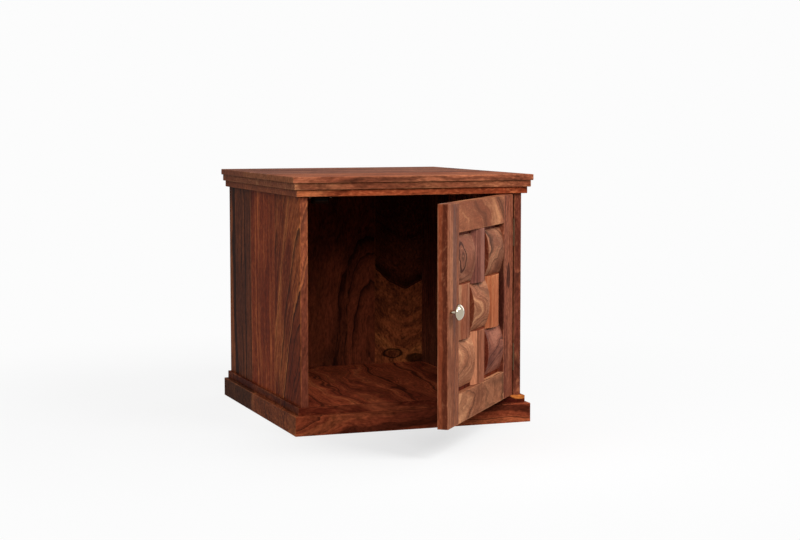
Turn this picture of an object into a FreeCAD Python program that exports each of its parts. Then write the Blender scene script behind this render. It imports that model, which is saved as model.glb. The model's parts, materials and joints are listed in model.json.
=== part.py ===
# Storage side table with one inset door, in solid rosewood.
#
# The carcass is a box of edge-glued boards. A stepped cornice of three layers
# closes it above, and a stepped base of two mouldings runs round its foot. The
# door is a grooved frame with a thin panel, and nine half-round blocks glued to
# that panel make a basket weave. It hangs on two butt hinges at the right.
#
# Millimetres. +Z is up and the front faces -Y. The origin is on the floor, in
# the middle of the carcass. The door is drawn closed and then swung open.

import FreeCAD, Part
import math
import os

import Sketcher
from FreeCAD import Placement, Rotation, Vector

os.makedirs("parts", exist_ok=True)
doc = FreeCAD.newDocument("side_table")

# ---------------------------------------------------------------- dimensions

DRIVING = {
    # whole cabinet
    "carcass_width": 424.0,
    "carcass_depth": 486.0,
    "overall_height": 457.0,
    # boards
    "side_board": 14.5,
    "back_board": 11.0,
    "floor_board": 14.0,
    "top_board": 11.0,
    "cornice_board": 12.0,
    "lid_board": 12.0,
    # how far a board is let into its neighbour
    "back_rebate": 7.0,
    "back_play": 0.5,
    "back_inset": 1.0,
    "floor_housing": 4.0,
    "lid_housing": 3.0,
    # how far each layer stands out over the carcass, in front and at the sides
    "top_overhang": 16.5,
    "cornice_overhang": 13.0,
    "lid_overhang": 8.0,
    "step_overhang": 6.0,
    "plinth_overhang": 14.0,
    # base
    "plinth_height": 35.0,
    "plinth_board": 20.0,
    "block_leg": 40.0,
    "block_lift": 3.0,
    # joints between the back boards, from the middle of the back
    "back_joint_left": 82.0,
    "back_joint_middle": 33.0,
    "back_joint_right": 93.0,
    # rounded arrises
    "board_arris": 1.2,
    "front_arris": 1.5,
    "door_arris": 2.0,
    "recess_arris": 0.8,
    # door
    "door_open_angle": 50.6,
    "door_board": 18.5,
    "door_gap_above": 1.5,
    "door_gap_below": 1.5,
    "stile_width": 59.0,
    "rail_width": 50.0,
    "back_lip": 3.0,
    "panel_board": 5.0,
    "groove_depth": 8.0,
    "groove_play": 1.0,
    "tongue_play": 0.3,
    # weave blocks
    "bow_side_margin": 7.25,
    "bow_rail_margin": 6.6,
    "bow_sink": 0.2,
    "bow_edge": 1.2,
    "bow_gap": 0.6,
    "bow_play": 0.3,
    "bow_arris": 0.6,
    # hinges
    "hinge_length": 50.0,
    "hinge_leaf": 1.0,
    "hinge_play": 0.2,
    "hinge_back_margin": 2.4,
    "hinge_stand_out": 0.9,
    "hinge_inset": 45.0,
    "barrel_radius": 1.8,
    "barrel_play": 0.25,
    "hinge_pin_radius": 1.0,
    "hinge_pin_play": 0.05,
    # knob
    "knob_radius": 14.0,
    "knob_neck_radius": 2.9,
    "knob_foot_radius": 4.0,
    "knob_foot_flare": 1.1,
    "knob_head_flare": 2.2,
    "knob_neck_length": 13.9,
    "knob_rim": 1.0,
    "knob_dome": 8.1,
    "knob_edge_inset": 13.0,
    "knob_rise": 8.0,
    "knob_screw_radius": 2.0,
    "knob_screw_grip": 8.0,
    "knob_screw_head": 3.8,
    "knob_screw_head_height": 2.4,
    "washer_radius": 5.0,
    "washer_thick": 0.8,
    # magnetic catch
    "catch_length": 30.0,
    "catch_depth": 14.0,
    "catch_height": 14.0,
    "catch_ear": 9.0,
    "catch_ear_thick": 2.5,
    "magnet_length": 24.0,
    "magnet_thick": 4.0,
    "pole_thick": 1.2,
    "pole_stand_out": 0.6,
    "catch_play": 0.3,
    "strike_length": 36.0,
    "strike_height": 11.0,
    "strike_thick": 1.0,
}

sheet = doc.addObject("Spreadsheet::Sheet", "dims")
for row, (alias, number) in enumerate(DRIVING.items(), start=1):
    sheet.set(f"A{row}", str(number))
    sheet.setAlias(f"A{row}", alias)
doc.recompute()


class Size:
    """A length that knows its number and the sheet formula that gives it."""

    def __init__(self, number, formula):
        self.number = number
        self.formula = formula

    @staticmethod
    def of(other):
        return other if isinstance(other, Size) else Size(float(other), repr(float(other)))

    def join(self, other, sign, number):
        return Size(number, f"({self.formula} {sign} {other.formula})")

    def __add__(self, other):
        other = Size.of(other)
        return self.join(other, "+", self.number + other.number)

    def __sub__(self, other):
        other = Size.of(other)
        return self.join(other, "-", self.number - other.number)

    def __mul__(self, other):
        other = Size.of(other)
        return self.join(other, "*", self.number * other.number)

    def __truediv__(self, other):
        other = Size.of(other)
        return self.join(other, "/", self.number / other.number)

    def __neg__(self):
        return self * -1


size = {alias: Size(sheet.get(alias), f"dims.{alias}") for alias in DRIVING}
ZERO = Size.of(0)

# ------------------------------------------------- places worked out from them

half_width = size["carcass_width"] / 2
inner_half = half_width - size["side_board"]
front = -size["carcass_depth"] / 2
rear = size["carcass_depth"] / 2
back_outer = rear - size["back_inset"]
back_face = back_outer - size["back_board"]

plinth_top = size["plinth_height"]
floor_top = plinth_top + size["floor_board"]
top_top = size["overall_height"]
cornice_top = top_top - size["top_board"]
lid_top = cornice_top - size["cornice_board"]
ceiling = lid_top - size["lid_board"]
side_top = ceiling + size["lid_housing"]

# The gap at the hinges holds both closed leaves and the play between them. The
# gap at the free edge is as wide.
door_gap = size["hinge_leaf"] * 2 + size["hinge_play"]
door_right = inner_half - door_gap
door_left = -door_right
door_low = floor_top + size["door_gap_below"]
door_high = ceiling - size["door_gap_above"]
door_back = front + size["door_board"]
panel_back = door_back - size["back_lip"]
recess_face = panel_back - size["panel_board"]
field_left = door_left + size["stile_width"]
field_right = door_right - size["stile_width"]
field_low = door_low + size["rail_width"]
field_high = door_high - size["rail_width"]

hinge_axis_x = inner_half - door_gap / 2
hinge_axis_y = front - size["hinge_stand_out"]
OPEN_DOOR = Placement(
    Vector(),
    Rotation(Vector(0, 0, 1), size["door_open_angle"].number),
    Vector(hinge_axis_x.number, hinge_axis_y.number, 0),
)
CLOSE_ENOUGH = 1e-4

finished = []


# ------------------------------------------------------------ drawing helpers

# Which way the normal of a sketch on each origin plane points along its axis.
NORMAL = {"XY_Plane": 1, "XZ_Plane": -1, "YZ_Plane": 1}


def spot(*place):
    """A point whose coordinates are sizes."""
    return Vector(*(coordinate.number for coordinate in place))


def new_body(label, on_door=False):
    body = doc.addObject("PartDesign::Body", label)
    body.Label = label
    if on_door:
        body.Placement = OPEN_DOOR
    finished.append(body)
    return body


def new_sketch(body, role, level):
    """A sketch that lies on one of the body's own planes, raised to level."""
    sketch = body.newObject("Sketcher::SketchObject", f"{body.Name}_sketch")
    support = next(item for item in body.Origin.OriginFeatures if item.Role == role)
    sketch.AttachmentSupport = [(support, "")]
    sketch.MapMode = "FlatFace"
    offset = level * NORMAL[role]
    sketch.setExpression("AttachmentOffset.Base.z", offset.formula)
    return sketch


def tie_point(sketch, geometry, vertex, place):
    """Hold one vertex at its two distances from the sketch's origin."""
    for kind, distance in zip(("DistanceX", "DistanceY"), place):
        rule = Sketcher.Constraint(kind, -1, 1, geometry, vertex, distance.number)
        index = sketch.addConstraint(rule)
        sketch.setExpression(f"Constraints[{index}]", distance.formula)


def tie_radius(sketch, geometry, radius):
    index = sketch.addConstraint(Sketcher.Constraint("Radius", geometry, radius.number))
    sketch.setExpression(f"Constraints[{index}]", radius.formula)


def arc_between(start, end, radius):
    """The short arc from start to end, going round anticlockwise."""
    chord = end - start
    rise = math.sqrt(radius**2 - (chord.Length / 2) ** 2)
    inward = Vector(-chord.y, chord.x, 0).normalize()
    centre = (start + end) / 2 + inward * rise
    spokes = [point - centre for point in (start, end)]
    angles = [math.atan2(spoke.y, spoke.x) for spoke in spokes]
    return Part.ArcOfCircle(Part.Circle(centre, Vector(0, 0, 1), radius), *angles)


def draw_outline(sketch, corners, arcs=None):
    """A closed outline, anticlockwise. arcs gives the radius of the arc that
    leaves a corner, and every other side is straight."""
    arcs = arcs or {}
    points = [spot(across, up, ZERO) for across, up in corners]
    count = len(points)
    for index, point in enumerate(points):
        following = points[(index + 1) % count]
        if index in arcs:
            side = arc_between(point, following, arcs[index].number)
        else:
            side = Part.LineSegment(point, following)
        sketch.addGeometry(side, False)
    for index in range(count):
        meet = Sketcher.Constraint("Coincident", index, 2, (index + 1) % count, 1)
        sketch.addConstraint(meet)
    for index, corner in enumerate(corners):
        tie_point(sketch, index, 1, corner)
    for index, radius in arcs.items():
        tie_radius(sketch, index, radius)


def draw_circle(sketch, centre, radius):
    middle = spot(*centre, ZERO)
    sketch.addGeometry(Part.Circle(middle, Vector(0, 0, 1), radius.number), False)
    tie_point(sketch, 0, 3, centre)
    tie_radius(sketch, 0, radius)


def rectangle(left, right, low, high):
    return [(left, low), (right, low), (right, high), (left, high)]


def pad_up(body, sketch, low, high):
    pad = body.newObject("PartDesign::Pad", f"{body.Name}_pad")
    pad.Profile = sketch
    pad.setExpression("Length", (high - low).formula)
    doc.recompute()
    body.Tip = pad
    return pad


def cut_down(body, sketch, low, high):
    """Cut the sketch away from low to high, and make sure that it cut."""
    before = body.Shape.Volume
    pocket = body.newObject("PartDesign::Pocket", f"{body.Name}_pocket")
    pocket.Profile = sketch
    pocket.Reversed = True
    pocket.setExpression("Length", (high - low).formula)
    doc.recompute()
    if not before - pocket.Shape.Volume > CLOSE_ENOUGH:
        raise RuntimeError(f"{body.Label}: a cut removed nothing")
    body.Tip = pocket


def start_level(role, low, high):
    """Where a pad or pocket starts that runs from low to high."""
    return low if NORMAL[role] > 0 else high


def add_prism(body, role, low, high, corners, arcs=None):
    """Pad an outline from low to high along the plane's axis."""
    sketch = new_sketch(body, role, start_level(role, low, high))
    draw_outline(sketch, corners, arcs)
    return pad_up(body, sketch, low, high)


def cut_prism(body, role, low, high, corners):
    sketch = new_sketch(body, role, start_level(role, low, high))
    draw_outline(sketch, corners)
    cut_down(body, sketch, low, high)


def add_rod(body, role, low, high, centre, radius):
    sketch = new_sketch(body, role, start_level(role, low, high))
    draw_circle(sketch, centre, radius)
    return pad_up(body, sketch, low, high)


def cut_rod(body, role, low, high, centre, radius):
    sketch = new_sketch(body, role, start_level(role, low, high))
    draw_circle(sketch, centre, radius)
    cut_down(body, sketch, low, high)


def same_point(one, other):
    return one.distanceToPoint(other) < CLOSE_ENOUGH


def edge_names(shape, spans):
    """The names of the edges that run between the given pairs of points."""
    names = []
    for index, edge in enumerate(shape.Edges, start=1):
        if len(edge.Vertexes) != 2:
            continue
        one, other = (vertex.Point for vertex in edge.Vertexes)
        for start, end in spans:
            forward = same_point(one, start) and same_point(other, end)
            if forward or (same_point(one, end) and same_point(other, start)):
                names.append(f"Edge{index}")
    if len(names) != len(spans):
        raise RuntimeError(f"found {len(names)} edges of {len(spans)}")
    return names


def round_over(body, base, spans, radius):
    """Round the arrises that run between the given pairs of points."""
    fillet = body.newObject("PartDesign::Fillet", f"{body.Name}_arris")
    fillet.Base = (base, edge_names(base.Shape, spans))
    fillet.setExpression("Radius", radius.formula)
    doc.recompute()
    body.Tip = fillet
    return fillet


def ease(body, base, spans, width):
    """Take the sharpness off the arrises between the given pairs of points."""
    chamfer = body.newObject("PartDesign::Chamfer", f"{body.Name}_ease")
    chamfer.Base = (base, edge_names(base.Shape, spans))
    chamfer.setExpression("Size", width.formula)
    doc.recompute()
    body.Tip = chamfer


FACES = {
    "left": (0, 0),
    "right": (0, 1),
    "front": (1, 0),
    "back": (1, 1),
    "bottom": (2, 0),
    "top": (2, 1),
}


def box_span(limits, pair):
    """The two ends of the edge where two named faces of a box meet."""
    fixed = dict(FACES[name] for name in pair.split())
    return tuple(
        spot(*(limits[axis][fixed.get(axis, end)] for axis in range(3)))
        for end in (0, 1)
    )


def make_board(label, across, along, up, eased=(), arris=None, on_door=False):
    """A sawn board between pairs of limits, with the named arrises rounded."""
    body = new_body(label, on_door)
    base = add_prism(body, "XY_Plane", *up, rectangle(*across, *along))
    if eased:
        spans = [box_span((across, along, up), pair) for pair in eased]
        round_over(body, base, spans, arris)
    return body


def thirds(low, high):
    """Three equal spans, as a panel is glued up from three equal boards."""
    third = (high - low) / 3
    return [(low, low + third), (low + third, high - third), (high - third, high)]


def make_group(label, members):
    """Alike pieces under one name, each still a solid of its own."""
    group = doc.addObject("Part::Compound", label)
    group.Label = label
    group.Links = members
    finished.append(group)


def put_at(item, place):
    for letter, distance in zip("xyz", place):
        item.setExpression(f"Placement.Base.{letter}", distance.formula)


# --------------------------------------------------------------------- cornice

def rims(*sides):
    """The upper and the lower arris along each named side of a board."""
    return [f"{side} {level}" for side in sides for level in ("top", "bottom")]


def make_top():
    """The top, glued up from three boards that run from side to side."""
    reach = half_width + size["top_overhang"]
    spans = thirds(front - size["top_overhang"], rear)
    outer_sides = {
        "front": ("left", "right", "front"),
        "middle": ("left", "right"),
        "rear": ("left", "right", "back"),
    }
    for (place, sides), along in zip(outer_sides.items(), spans):
        label = f"top_board_{place}"
        up = (cornice_top, top_top)
        make_board(label, (-reach, reach), along, up, rims(*sides), size["board_arris"])


def make_layer(label, overhang, up):
    """A layer of the cornice, flush with the carcass at the back."""
    reach = half_width + overhang
    along = (front - overhang, rear)
    sides = rims("left", "right", "front")
    return make_board(label, (-reach, reach), along, up, sides, size["board_arris"])


def make_cornice():
    """Two layers under the top, each reaching less far out. The lower one is
    the carcass's lid, and the sides stand in two housings in its underside."""
    make_layer("cornice_board", size["cornice_overhang"], (lid_top, cornice_top))
    lid = make_layer("carcass_top", size["lid_overhang"], (ceiling, lid_top))
    for across in ((-half_width, -inner_half), (inner_half, half_width)):
        housing = rectangle(*across, front, rear)
        cut_prism(lid, "XY_Plane", ceiling, side_top, housing)


# ------------------------------------------------------------- carcass boards

def make_side(name, hand):
    """Three upright boards. The front one has both front arrises rounded, the
    rear one is rebated for the back, and all are rebated for the floor. hand
    is 1 at the right."""
    outer, inner = half_width * hand, inner_half * hand
    across = (inner, outer) if hand > 0 else (outer, inner)
    up = (plinth_top, side_top)
    spans = thirds(front, rear)
    front_edges = ["left front", "right front"]
    boards = [
        make_board(f"{name}_side_front", across, spans[0], up, front_edges, size["front_arris"]),
        make_board(f"{name}_side_middle", across, spans[1], up),
        make_board(f"{name}_side_rear", across, spans[2], up),
    ]
    floor_ledge = (inner_half + size["floor_housing"]) * hand
    notch = sorted((inner, floor_ledge), key=lambda place: place.number)
    for board, along in zip(boards, spans):
        cut_prism(board, "XZ_Plane", *along, rectangle(*notch, plinth_top, floor_top))
    back_ledge = (inner_half + size["back_rebate"]) * hand
    notch = sorted((inner, back_ledge), key=lambda place: place.number)
    cut_prism(boards[2], "XY_Plane", *up, rectangle(*notch, back_face, rear))


def make_back():
    """Four upright boards that lie in the rebates and stand on the plinth. They
    lie a little deeper than flush, so that the heads of their screws are safe."""
    edge = inner_half + size["back_rebate"] - size["back_play"]
    joints = [
        -edge,
        -size["back_joint_left"],
        size["back_joint_middle"],
        size["back_joint_right"],
        edge,
    ]
    for number, across in enumerate(zip(joints, joints[1:]), start=1):
        make_board(f"back_board_{number}", across, (back_face, back_outer), (plinth_top, ceiling))


def make_floor():
    """The cabinet's floor, let into both sides and flush with their fronts."""
    reach = inner_half + size["floor_housing"]
    make_board("floor_panel", (-reach, reach), (front, back_face), (plinth_top, floor_top))


# ------------------------------------------------------------------------ base

def make_moulding(label, overhang, thick, up):
    """A moulding along the front and both sides, mitred at the front corners,
    with its upper outer arris rounded."""
    out, near = half_width + overhang, front - overhang
    inner_out, inner_near = out - thick, near + thick
    right = [(out, near), (out, rear), (inner_out, rear), (inner_out, inner_near)]
    left = [(-across, along) for across, along in reversed(right)]
    runs = {
        "front": ([(-out, near), (out, near), (inner_out, inner_near), (-inner_out, inner_near)], 0),
        "right": (right, 0),
        "left": (left, 2),
    }
    for place, (corners, outer) in runs.items():
        body = new_body(f"{label}_{place}")
        base = add_prism(body, "XY_Plane", *up, corners)
        ends = [spot(*corners[index], up[1]) for index in (outer, outer + 1)]
        round_over(body, base, [tuple(ends)], size["board_arris"])


inside_x = half_width + size["plinth_overhang"] - size["plinth_board"]
inside_front = front - size["plinth_overhang"] + size["plinth_board"]
inside_rear = rear - size["plinth_board"]


def make_corner_blocks():
    """A three-cornered glue block in each inside corner of the plinth, up
    against the floor. Each has its square corner in the plinth's."""
    corners = [
        (-inside_x, inside_front),
        (inside_x, inside_front),
        (inside_x, inside_rear),
        (-inside_x, inside_rear),
    ]
    blocks = []
    for quarter_turns, corner in enumerate(corners):
        block = doc.addObject("Part::Wedge", f"corner_block_{quarter_turns + 1}")
        for flat in ("Xmin", "Ymin", "Zmin", "X2min", "X2max", "Z2min"):
            setattr(block, flat, 0)
        for leg in ("Xmax", "Ymax"):
            block.setExpression(leg, size["block_leg"].formula)
        for rise in ("Zmax", "Z2max"):
            block.setExpression(rise, (plinth_top - size["block_lift"]).formula)
        block.Placement.Rotation = Rotation(Vector(0, 0, 1), 90 * quarter_turns)
        put_at(block, (*corner, size["block_lift"]))
        blocks.append(block)
    make_group("plinth_corner_blocks", blocks)


def make_base():
    step = size["step_overhang"]
    make_moulding("base_step", step, step, (plinth_top, floor_top))
    make_moulding("plinth", size["plinth_overhang"], size["plinth_board"], (ZERO, plinth_top))
    make_board("plinth_rear", (-inside_x, inside_x), (inside_rear, rear), (ZERO, plinth_top))
    make_corner_blocks()


# ------------------------------------------------------------------ door frame

def upright(across, along):
    """The ends of an arris that runs up the whole door."""
    return (spot(across, along, door_low), spot(across, along, door_high))


def make_stile(label, hand, outer_arris):
    """An upright of the door, grooved along its inner edge for the panel and
    for the tongues of the rails. hand is 1 at the hinges."""
    outer = door_right * hand
    inner = field_right * hand
    deep = inner + size["groove_depth"] * hand
    corners = [
        (inner, front),
        (outer, front),
        (outer, door_back),
        (inner, door_back),
        (inner, panel_back),
        (deep, panel_back),
        (deep, recess_face),
        (inner, recess_face),
    ]
    if hand < 0:
        corners.reverse()
    body = new_body(label, on_door=True)
    base = add_prism(body, "XY_Plane", door_low, door_high, corners)
    base = round_over(body, base, [upright(outer, front)], outer_arris)
    small = [upright(inner, front), upright(outer, door_back), upright(inner, door_back)]
    round_over(body, base, small, size["recess_arris"])


def make_rail(label, edge, inner):
    """A cross rail with a tongue at each end. It is grooved along the edge that
    faces the panel."""
    outward = 1 if inner.number < edge.number else -1
    deep = inner + size["groove_depth"] * outward
    corners = [
        (front, edge),
        (front, inner),
        (recess_face, inner),
        (recess_face, deep),
        (panel_back, deep),
        (panel_back, inner),
        (door_back, inner),
        (door_back, edge),
    ]
    if outward < 0:
        corners.reverse()
    body = new_body(label, on_door=True)
    base = add_prism(body, "YZ_Plane", field_left, field_right, corners)
    inner_arrises = [
        (spot(field_left, along, inner), spot(field_right, along, inner))
        for along in (front, door_back)
    ]
    round_over(body, base, inner_arrises, size["recess_arris"])
    reach = size["groove_depth"] - size["tongue_play"]
    low, high = (deep, edge) if outward > 0 else (edge, deep)
    tongue = rectangle(recess_face, panel_back, low, high)
    add_prism(body, "YZ_Plane", field_left - reach, field_right + reach, tongue)


def make_panel():
    reach = size["groove_depth"] - size["groove_play"]
    make_board(
        "door_panel",
        (field_left - reach, field_right + reach),
        (recess_face, panel_back),
        (field_low - reach, field_high + reach),
        on_door=True,
    )


# ----------------------------------------------------------------- weave blocks

def weave_sizes(room, margin):
    """How long the blocks are and how wide their bows, one way across the door.

    Two lengths and a bow fill the room but for a little play at both ends, and
    two bows and a length leave the margin there. Both sums fix both sizes."""
    room_for_three = room - size["bow_gap"] * 2
    two_long = room_for_three - size["bow_play"] * 2
    two_bows = room_for_three - margin * 2
    return (two_long * 2 - two_bows) / 3, (two_bows * 2 - two_long) / 3


lying_length, standing_bow = weave_sizes(field_right - field_left, size["bow_side_margin"])
standing_length, lying_bow = weave_sizes(field_high - field_low, size["bow_rail_margin"])
bow_top = front + size["bow_sink"]


def bow_profile(middle, width, lying):
    """A shallow D: a flat back on the panel, two low edges and one bow. Given
    as corners in the drawing plane, with the bow's radius.

    The bow's radius follows from its width and its rise:
    (half width squared + rise squared) / (2 x rise)."""
    half = width / 2
    shoulder = recess_face - size["bow_edge"]
    rise = shoulder - bow_top
    radius = (half * half + rise * rise) / (rise * 2)
    low, high = middle - half, middle + half
    if lying:
        return [(recess_face, low), (recess_face, high), (shoulder, high), (shoulder, low)], {2: radius}
    return [(low, recess_face), (low, shoulder), (high, shoulder), (high, recess_face)], {1: radius}


def make_weave_block(row, column):
    """One block of the basket weave. Those in the corners and the middle lie,
    with the bow across the height, and the other four stand."""
    lying = (row + column) % 2 == 0
    step = (standing_bow + lying_length) / 2 + size["bow_gap"]
    x_middle = (field_left + field_right) / 2 + step * (column - 2)
    step = (lying_bow + standing_length) / 2 + size["bow_gap"]
    z_middle = (field_low + field_high) / 2 - step * (row - 2)
    body = new_body(f"weave_block_{row}_{column}", on_door=True)
    if lying:
        half = lying_length / 2
        ends = (x_middle - half, x_middle + half)
        corners, arcs = bow_profile(z_middle, lying_bow, lying)
        base = add_prism(body, "YZ_Plane", *ends, corners, arcs)
        ends_of_bow = [(spot(end, *corners[2]), spot(end, *corners[3])) for end in ends]
    else:
        half = standing_length / 2
        ends = (z_middle - half, z_middle + half)
        corners, arcs = bow_profile(x_middle, standing_bow, lying)
        base = add_prism(body, "XY_Plane", *ends, corners, arcs)
        ends_of_bow = [(spot(*corners[1], end), spot(*corners[2], end)) for end in ends]
    ease(body, base, ends_of_bow, size["bow_arris"])


def make_door():
    make_stile("door_stile_free", -1, size["door_arris"])
    make_stile("door_stile_hinge", 1, size["front_arris"])
    make_rail("door_rail_top", door_high, field_high)
    make_rail("door_rail_bottom", door_low, field_low)
    make_panel()
    for row in (1, 2, 3):
        for column in (1, 2, 3):
            make_weave_block(row, column)


# ---------------------------------------------------------------------- hinges

KNUCKLES = 3


def make_hinge_leaf(label, low, hand, on_door):
    """A flat leaf with its share of the knuckles, the outer ones on the
    cabinet. Beside the other leaf's knuckles it is cut back to clear them.
    hand is 1 on the cabinet."""
    near = hinge_axis_x + size["hinge_play"] / 2 * hand
    far = near + size["hinge_leaf"] * hand
    across = (near, far) if hand > 0 else (far, near)
    high = low + size["hinge_length"]
    inner_end = door_back - size["hinge_back_margin"]
    body = new_body(label, on_door)
    add_prism(body, "YZ_Plane", *across, rectangle(hinge_axis_y, inner_end, low, high))
    axis = (hinge_axis_x, hinge_axis_y)
    step = size["hinge_length"] / KNUCKLES
    spare = size["barrel_play"] / 2
    for index in range(KNUCKLES):
        own = index % 2 == (1 if on_door else 0)
        start, end = low + step * index, low + step * (index + 1)
        if own:
            add_rod(body, "XY_Plane", start + spare, end - spare, axis, size["barrel_radius"])
        else:
            clear = size["barrel_radius"] + size["barrel_play"]
            cut_rod(body, "XY_Plane", start - spare, end + spare, axis, clear)
    bore = size["hinge_pin_radius"] + size["hinge_pin_play"]
    cut_rod(body, "XY_Plane", low, high, axis, bore)


def make_hinges():
    levels = {
        "top": door_high - size["hinge_inset"] - size["hinge_length"],
        "bottom": door_low + size["hinge_inset"],
    }
    pins = []
    for place, low in levels.items():
        make_hinge_leaf(f"hinge_{place}_cabinet_leaf", low, 1, on_door=False)
        make_hinge_leaf(f"hinge_{place}_door_leaf", low, -1, on_door=True)
        pin = doc.addObject("Part::Cylinder", f"hinge_{place}_pin")
        pin.setExpression("Radius", size["hinge_pin_radius"].formula)
        pin.setExpression("Height", size["hinge_length"].formula)
        put_at(pin, (hinge_axis_x, hinge_axis_y, low))
        pins.append(pin)
    make_group("hinge_pins", pins)


# ------------------------------------------------------------------------ knob

knob_x = door_left + size["knob_edge_inset"]
knob_z = (door_low + door_high) / 2 + size["knob_rise"]


def make_knob():
    """A mushroom knob on a slim neck, turned about its own axis. It is drawn
    as radius and distance from the door, and bored for its screw."""
    body = new_body("door_knob")
    foot, neck, rim = size["knob_foot_radius"], size["knob_neck_radius"], size["knob_radius"]
    under = size["knob_neck_length"]
    brim = under + size["knob_rim"]
    dome = size["knob_dome"]
    corners = [
        (ZERO, ZERO),
        (foot, ZERO),
        (neck, size["knob_foot_flare"]),
        (neck, under - size["knob_head_flare"]),
        (neck + size["knob_head_flare"], under),
        (rim, under),
        (rim, brim),
        (ZERO, brim + dome),
    ]
    sketch = new_sketch(body, "XY_Plane", ZERO)
    draw_outline(sketch, corners, {6: (rim * rim + dome * dome) / (dome * 2)})
    turned = body.newObject("PartDesign::Revolution", "door_knob_turned")
    turned.Profile = sketch
    turned.ReferenceAxis = (sketch, ["V_Axis"])
    turned.Angle = 360
    doc.recompute()
    body.Tip = turned
    cut_rod(body, "XZ_Plane", ZERO, size["knob_screw_grip"], (ZERO, ZERO), size["knob_screw_radius"])
    seat = Placement(spot(knob_x, front, knob_z), Rotation(Vector(0, 0, 1), 180))
    body.Placement = OPEN_DOOR.multiply(seat)


def make_knob_fixing():
    """A screw through the stile holds the knob, with a washer under its head."""
    centre = (knob_x, knob_z)
    radius = size["knob_screw_radius"]
    cut_rod(doc.getObject("door_stile_free"), "XZ_Plane", front, door_back, centre, radius)
    face = door_back + size["washer_thick"]
    washer = new_body("knob_washer", on_door=True)
    add_rod(washer, "XZ_Plane", door_back, face, centre, size["washer_radius"])
    cut_rod(washer, "XZ_Plane", door_back, face, centre, radius)
    bolt = new_body("knob_screw", on_door=True)
    head_top = face + size["knob_screw_head_height"]
    add_rod(bolt, "XZ_Plane", face, head_top, centre, size["knob_screw_head"])
    add_rod(bolt, "XZ_Plane", front - size["knob_screw_grip"], face, centre, radius)


# -------------------------------------------------------------- magnetic catch

catch_x = door_left + size["stile_width"] / 2
catch_z = ceiling - size["catch_height"] / 2
pole_face = door_back + size["strike_thick"] + size["catch_play"]
catch_front = pole_face + size["pole_stand_out"]
catch_rear = catch_front + size["catch_depth"]


def about(middle, length):
    """A pair of limits, as far to each side of the middle."""
    return (middle - length / 2, middle + length / 2)


def make_catch():
    """A plastic case under the ceiling holds a magnet between two steel plates,
    and a steel plate on the door meets them when the door is shut."""
    left, right = about(catch_x, size["catch_length"])
    low, ear_low = ceiling - size["catch_height"], ceiling - size["catch_ear_thick"]
    tip_left, tip_right = left - size["catch_ear"], right + size["catch_ear"]
    corners = [
        (left, low),
        (right, low),
        (right, ear_low),
        (tip_right, ear_low),
        (tip_right, ceiling),
        (tip_left, ceiling),
        (tip_left, ear_low),
        (left, ear_low),
    ]
    case = new_body("catch_case")
    base = add_prism(case, "XZ_Plane", catch_front, catch_rear, corners)
    uprights = [
        (spot(across, along, low), spot(across, along, ear_low))
        for across in (left, right)
        for along in (catch_front, catch_rear)
    ]
    round_over(case, base, uprights, size["recess_arris"])
    magnet_across = about(catch_x, size["magnet_length"])
    magnet_up = about(catch_z, size["magnet_thick"])
    stack_up = about(catch_z, size["magnet_thick"] + size["pole_thick"] * 2)
    magnet_rear = catch_rear - size["catch_ear_thick"]
    cut_prism(case, "XZ_Plane", catch_front, magnet_rear, rectangle(*magnet_across, *stack_up))
    make_board("catch_magnet", magnet_across, (catch_front, magnet_rear), magnet_up)

    plates = []
    for number, level in enumerate((stack_up[0], magnet_up[1]), start=1):
        plate = doc.addObject("Part::Box", f"pole_plate_{number}")
        plate.setExpression("Length", size["magnet_length"].formula)
        plate.setExpression("Width", (magnet_rear - pole_face).formula)
        plate.setExpression("Height", size["pole_thick"].formula)
        put_at(plate, (magnet_across[0], pole_face, level))
        plates.append(plate)
    make_group("catch_pole_plates", plates)

    make_board(
        "strike_plate",
        about(catch_x, size["strike_length"]),
        (door_back, door_back + size["strike_thick"]),
        about(catch_z, size["strike_height"]),
        ["left bottom", "left top", "right bottom", "right top"],
        size["front_arris"],
        on_door=True,
    )


# ---------------------------------------------------------------- put together

make_top()
make_cornice()
make_side("left", -1)
make_side("right", 1)
make_back()
make_floor()
make_base()
make_door()
make_hinges()
make_knob()
make_knob_fixing()
make_catch()
doc.recompute()

for item in doc.Objects:
    trouble = {"Invalid", "Error"} & set(item.State)
    if trouble:
        raise RuntimeError(f"{item.Name}: {trouble}")
for item in finished:
    if item.Shape.isNull() or not item.Shape.isValid():
        raise RuntimeError(f"{item.Label}: bad shape")
for item in finished:
    item.Shape.exportStep(f"parts/{item.Label}.step")
    volume = item.Shape.Volume / 1000
    print(f"{item.Label:24s} {len(item.Shape.Solids):3d} solids {volume:10.2f} cm3")
print(len(finished), "nodes")
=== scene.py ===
# %% [markdown]
# # A rosewood side table with one door
#
# The object is a small storage table of solid sheesham, an Indian rosewood: a box of
# edge-glued boards, a stepped cornice and base, and a framed door whose field is filled
# with a basket weave of bowed blocks. The construction is a CAD model that is already
# packed, so this lesson only loads it, gives every board a finish of its own, and adds the
# small round things that a CAD mesh shows too coarsely. Everything is in metres.

# %% Load the frame
import json
import math
from functools import partial

import bmesh
import bpy
import numpy as np
from mathutils import Euler, Matrix, Vector


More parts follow.
